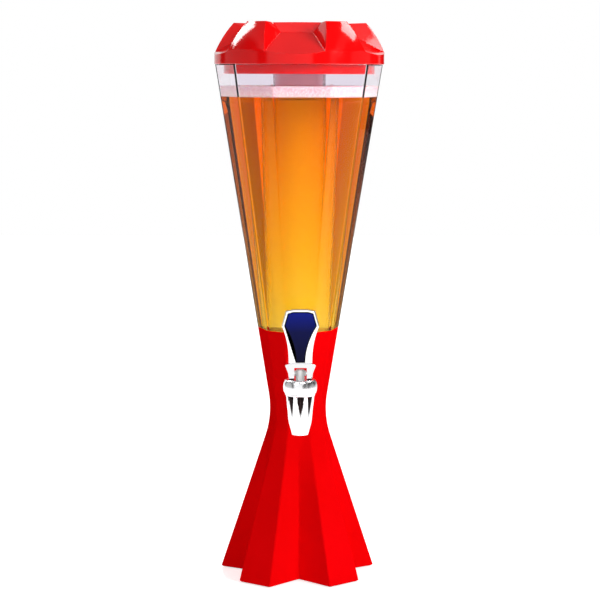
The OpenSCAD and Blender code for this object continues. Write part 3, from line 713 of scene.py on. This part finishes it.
def drink():
    """The beer fills the tank from its floor to the beer line, less a round well for the ice
    tube."""
    low = np.linspace(TANK_BOTTOM + TANK_FLOOR, NARROWING[0], 14)
    high = np.linspace(NARROWING[1], BEER_TOP, 14)
    outer = np.concatenate([
        body_rings(low, STEP_IN + WALL - FIT, INSIDE_EDGE),
        body_rings(high, WALL - FIT, INSIDE_EDGE),
    ])
    outer[0, :, 2] -= FIT
    rings = np.concatenate([outer, tube_well(outer.shape[1], BEER_TOP)])
    liquid = new_piece("beer", *capped(rings), beer(), "pedestal")
    weigh_normals(liquid, sharp=35)


def froth():
    """The head of foam: rings between the tank's wall and the ice tube. Their height is a dish
    that rises to both edges by the fourth power of the distance from its middle, with waves
    of 5 and of 11 to the turn that wind from the wall to the tube."""
    foot = BEER_TOP + FOAM_GAP
    side = body_rings(np.linspace(foot, FOAM_TOP - 3, 5), FOAM_WALL, INSIDE_EDGE)
    edge = body_rings([FOAM_TOP], FOAM_WALL, INSIDE_EDGE)[0]
    hole = tube_well(len(edge), FOAM_TOP)[0] * [FOAM_HOLE, FOAM_HOLE, 1]
    share = np.linspace(0, 1, 26)[1:-1, None]
    top = edge + (hole - edge) * share[..., None]
    angle = np.arctan2(top[..., 1], top[..., 0])
    wave = 0.7 * np.sin(5 * angle + 3 * share) + 0.5 * np.sin(11 * angle - 9 * share)
    rise = 2.2 * (np.abs(2 * share - 1) ** 4)
    top[..., 2] = FOAM_TOP - 2.4 + rise + 0.5 * wave
    inner = np.repeat(hole[None], 4, 0)
    inner[..., 2] = np.linspace(FOAM_TOP - 1, foot, 4)[:, None]
    new_piece(
        "foam_head", *looped(np.concatenate([side, edge[None], top, inner])), foam(), "pedestal"
    )


# ---- Lid, ice tube, tap and small parts ----
def valve_spring():
    """The coil spring over the plug, as a finished copy with a mesh of its own. In the tap its
    top stays under the bonnet's roof, and the rising plug shortens it by the stem's travel."""
    spring = smooth_copy(
        "return_spring", steel("spring_steel", (0.72, 0.72, 0.72)), "pedestal"
    )
    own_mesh(spring)


def finished_pieces():
    """Copies of CAD nodes that are seen from near: each with a finish and a body, and a bevel
    in millimetres where its edges need one."""
    # the tube's second colour is painted pink reflection of the red lid above the beer
    tube_clear = clear_plastic(
        "tube_clear", (1.0, 0.97, 0.96), (1.0, 0.66, 0.70), clearness=0.82
    )
    stem_white = soft("stem_white", (0.93, 0.93, 0.92), (0.98, 0.98, 0.97), 0.15, 0.25)
    for node, material, body, bevel in (
        ("lid", lid_red(), "lid", 0.8),
        ("tap_body", tap_chrome(), "pedestal", 0.0),
        ("bonnet", chrome("bonnet_chrome", low=0.22, high=0.3), "pedestal", 0.0),
        ("lever_fork", chrome("fork_chrome"), "lever", 1.1),
        ("handle", chrome("handle_chrome"), "lever", 1.5),
        ("lever_pin", chrome("pin_chrome"), "lever", 0.0),
        ("handle_inset", inset_blue(), "lever", 0.9),
        ("stem", stem_white, "stem", 0.0),
        ("ice_tube", tube_clear, "ice_tube", 0.0),
    ):
        smooth_copy(node, material, body, bevel)


def small_parts():
    """Finishes for the CAD nodes that stay as they are."""
    washer = soft("washer_silicone", (0.8, 0.8, 0.78), (0.88, 0.88, 0.86), 0.4, 0.5)
    pale, bright = (0.85, 0.85, 0.84), (0.92, 0.92, 0.9)
    pad = soft("pad_rubber", (0.015, 0.015, 0.015), (0.025, 0.025, 0.025), 0.7, 0.8)
    for node, material in (
        ("bottom_cover", soft("cover_black", (0.02, 0.02, 0.02), (0.03, 0.03, 0.03), 0.5, 0.6)),
        ("cover_screws", steel("screw_steel", (0.6, 0.6, 0.62))),
        ("foot_pads", pad),
        ("ballast_disc", steel("ballast_iron", (0.3, 0.3, 0.31))),
        ("outer_washer", washer),
        ("inner_washer", washer),
        ("stem_seal", washer),
        ("shank_nut", steel("nut_steel", (0.7, 0.7, 0.71))),
        ("seat_plug", soft("plug_silicone", (0.85, 0.85, 0.82), bright, 0.4, 0.5)),
        ("tube_seal", soft("tube_seal_silicone", pale, bright, 0.4, 0.5)),
    ):
        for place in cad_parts[node].material_slots:
            place.material = material


# ---- Studio ----
FLOOR_HALF = 4.0
FLOOR_GLOW = 0.66
PANEL_DISTANCE = 2.0
# What gloss sees from left to right: stops of position and brightness, with dark flags
# between white softboxes
GLOSS_BANDS = (
    (0.0, 0.5), (0.06, 0.5), (0.08, 0.03), (0.13, 0.03), (0.16, 1.0), (0.62, 1.0),
    (0.65, 0.02), (0.81, 0.02), (0.83, 0.5), (0.86, 0.5), (0.88, 0.02), (0.97, 0.02),
    (0.98, 0.35), (1.0, 0.35),
)


def studio_floor():
    """A white floor that keeps shadows. Camera, gloss and clear plastic see it glow, so that
    it fades into the white room."""
    half = FLOOR_HALF
    mesh = bpy.data.meshes.new("floor")
    mesh.from_pydata(
        [(-half, -half, 0), (half, -half, 0), (half, half, 0), (-half, half, 0)],
        [], [(0, 1, 2, 3)],
    )
    floor = placed("floor", mesh)
    material, tree, shader = finish_of(
        "floor_white", Roughness=0.12, Base_Color=(0.9, 0.9, 0.9, 1)
    )
    light = add(tree, "ShaderNodeEmission", {"Color": (1, 1, 1, 1), "Strength": FLOOR_GLOW})
    path = add(tree, "ShaderNodeLightPath").outputs
    seen = maths(tree, "MAXIMUM", path["Is Camera Ray"], path["Is Glossy Ray"])
    seen = maths(tree, "MAXIMUM", seen, path["Is Transmission Ray"])
    glowing = add(tree, "ShaderNodeAddShader")
    tree.links.new(shader.outputs["BSDF"], glowing.inputs[0])
    tree.links.new(light.outputs["Emission"], glowing.inputs[1])
    both = mixed(tree, seen, shader.outputs["BSDF"], glowing.outputs["Shader"])
    tree.links.new(both, tree.nodes["Material Output"].inputs["Surface"])
    mesh.materials.append(material)


def area_lamp(name, place, ahead, size_m, power):
    """A rectangular lamp that shines along a direction."""
    data = bpy.data.lights.new(name, "AREA")
    data.shape, data.size, data.size_y, data.energy = "RECTANGLE", *size_m, power
    lamp = placed(name, data)
    lamp.location = place
    lamp.rotation_euler = ahead.to_track_quat("-Z", "Y").to_euler()
    return lamp


def lamps():
    """Three softboxes. The key lamp, which would stand on the lid's rim as a round spot, has
    no highlight of its own."""
    for name, place, aim, size_m, power in (
        ("key_softbox", (1.4, -1.1, 1.2), (0, 0, 0.3), (0.5, 1.0), 26),
        ("left_strip", (-0.8, -1.5, 1.6), (0, 0, 0.5), (0.14, 1.2), 6),
        ("back_softbox", (0.3, 1.5, 1.5), (0, 0, 0.35), (1.2, 0.8), 8),
    ):
        lamp = area_lamp(name, place, Vector(aim) - Vector(place), size_m, power)
        lamp.visible_glossy = name != "key_softbox"


def gloss_panels():
    """Panels that only gloss sees: the white streak on the lid's left front lobe, the bright
    patch on its right one, the pale facet beside that, and the white top of the tap."""
    top = Vector((0, 0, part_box("lid")[1].z))
    for name, azimuth, elevation, size_m, strength in (
        ("left_panel", -119, 38, (0.5, 0.75), 20),
        ("right_panel", 106, 44, (0.6, 0.5), 12),
        ("facet_panel", 25, 38, (0.5, 0.35), 14),
        ("tap_panel", 0, 60, (1.8, 0.9), 1),
    ):
        out = Vector(polar(1.0, azimuth, 0.0)) * math.cos(math.radians(elevation))
        out.z = math.sin(math.radians(elevation))
        power = strength * size_m[0] * size_m[1] * math.pi
        panel = area_lamp(name, top + PANEL_DISTANCE * out, -out, size_m, power)
        panel.visible_diffuse = False
        panel.visible_transmission = False


def surround():
    """White to the camera. Gloss sees white with narrow dark flags. Clear plastic and drink see
    a white backdrop with dim room beside it, above the floor's level. Matt surfaces get a
    soft plain light."""
    world = bpy.data.worlds.new("studio")
    bpy.context.scene.world = world
    world.use_nodes = True
    tree = world.node_tree
    tree.nodes.clear()
    path = add(tree, "ShaderNodeLightPath")
    ahead = add(tree, "ShaderNodeTexCoord").outputs["Generated"]
    split = add(tree, "ShaderNodeSeparateXYZ")
    tree.links.new(ahead, split.inputs["Vector"])
    x, z = split.outputs["X"], split.outputs["Z"]

    across = ranged(tree, x, -1.0, 1.0)
    bands = coloured(tree, across, [(place, (level,) * 3) for place, level in GLOSS_BANDS])
    overhead = ranged(tree, z, 0.45, 0.8, to_low=1.0, to_high=0.3)
    beside = ranged(tree, maths(tree, "ABSOLUTE", x), 0.35, 0.75)
    dim = maths(tree, "MULTIPLY", beside, ranged(tree, z, -0.06, 0.0))
    through = ranged(tree, dim, 0.0, 1.0, to_low=1.0, to_high=0.55)

    lights = {
        "gloss": add(tree, "ShaderNodeBackground"),
        "through": add(tree, "ShaderNodeBackground"),
        "white": add(tree, "ShaderNodeBackground", {"Color": (1, 1, 1, 1), "Strength": 1.0}),
        "soft": add(tree, "ShaderNodeBackground", {"Color": (1, 1, 1, 1), "Strength": 0.34}),
    }
    tree.links.new(bands, lights["gloss"].inputs["Color"])
    tree.links.new(overhead, lights["gloss"].inputs["Strength"])
    tree.links.new(through, lights["through"].inputs["Color"])
    seen = lights["soft"].outputs["Background"]
    for ray, light in (
        ("Is Glossy Ray", "gloss"),
        ("Is Transmission Ray", "through"),
        ("Is Camera Ray", "white"),
    ):
        seen = mixed(tree, path.outputs[ray], seen, lights[light].outputs["Background"])
    output = add(tree, "ShaderNodeOutputWorld")
    tree.links.new(seen, output.inputs["Surface"])


# The photograph's eye stands level with the lid's rim and looks slightly down. Lengths are in
# metres and angles in degrees; the lean is the camera's roll
EYE_DISTANCE = 1.92
EYE_HEIGHT = 0.548
EYE_AZIMUTH = -1.9
PITCH = 7.338
LEAN = 0.2
FOCAL_PIXELS = 1773.9
FRAME_PIXELS = 600
AXIS_PIXEL = 298.4
SENSOR_MM = 36


def camera():
    data = bpy.data.cameras.new("camera")
    data.sensor_width = SENSOR_MM
    data.lens = SENSOR_MM * FOCAL_PIXELS / FRAME_PIXELS
    data.shift_x = (FRAME_PIXELS / 2 - AXIS_PIXEL) / FRAME_PIXELS
    eye = placed("camera", data)
    a, down = math.radians(EYE_AZIMUTH), math.radians(PITCH)
    eye.location = (EYE_DISTANCE * math.sin(a), -EYE_DISTANCE * math.cos(a), EYE_HEIGHT)
    ahead = Vector((
        -math.sin(a) * math.cos(down), math.cos(a) * math.cos(down), -math.sin(down)
    ))
    eye.rotation_euler = ahead.to_track_quat("-Z", "Y").to_euler()
    eye.rotation_euler.rotate_axis("Z", math.radians(LEAN))
    bpy.context.scene.camera = eye


def main():
    camera()
    studio_floor()
    surround()
    lamps()
    gloss_panels()
    pedestal(pedestal_red())
    # the tank's second colour is painted shade, greyish pink, above the beer
    tank(clear_plastic("tank_clear", (0.99, 0.98, 0.98), (0.88, 0.84, 0.90)))
    drink()
    froth()
    valve_spring()
    finished_pieces()
    small_parts()
    bpy.context.scene.view_settings.view_transform = "Standard"


main()
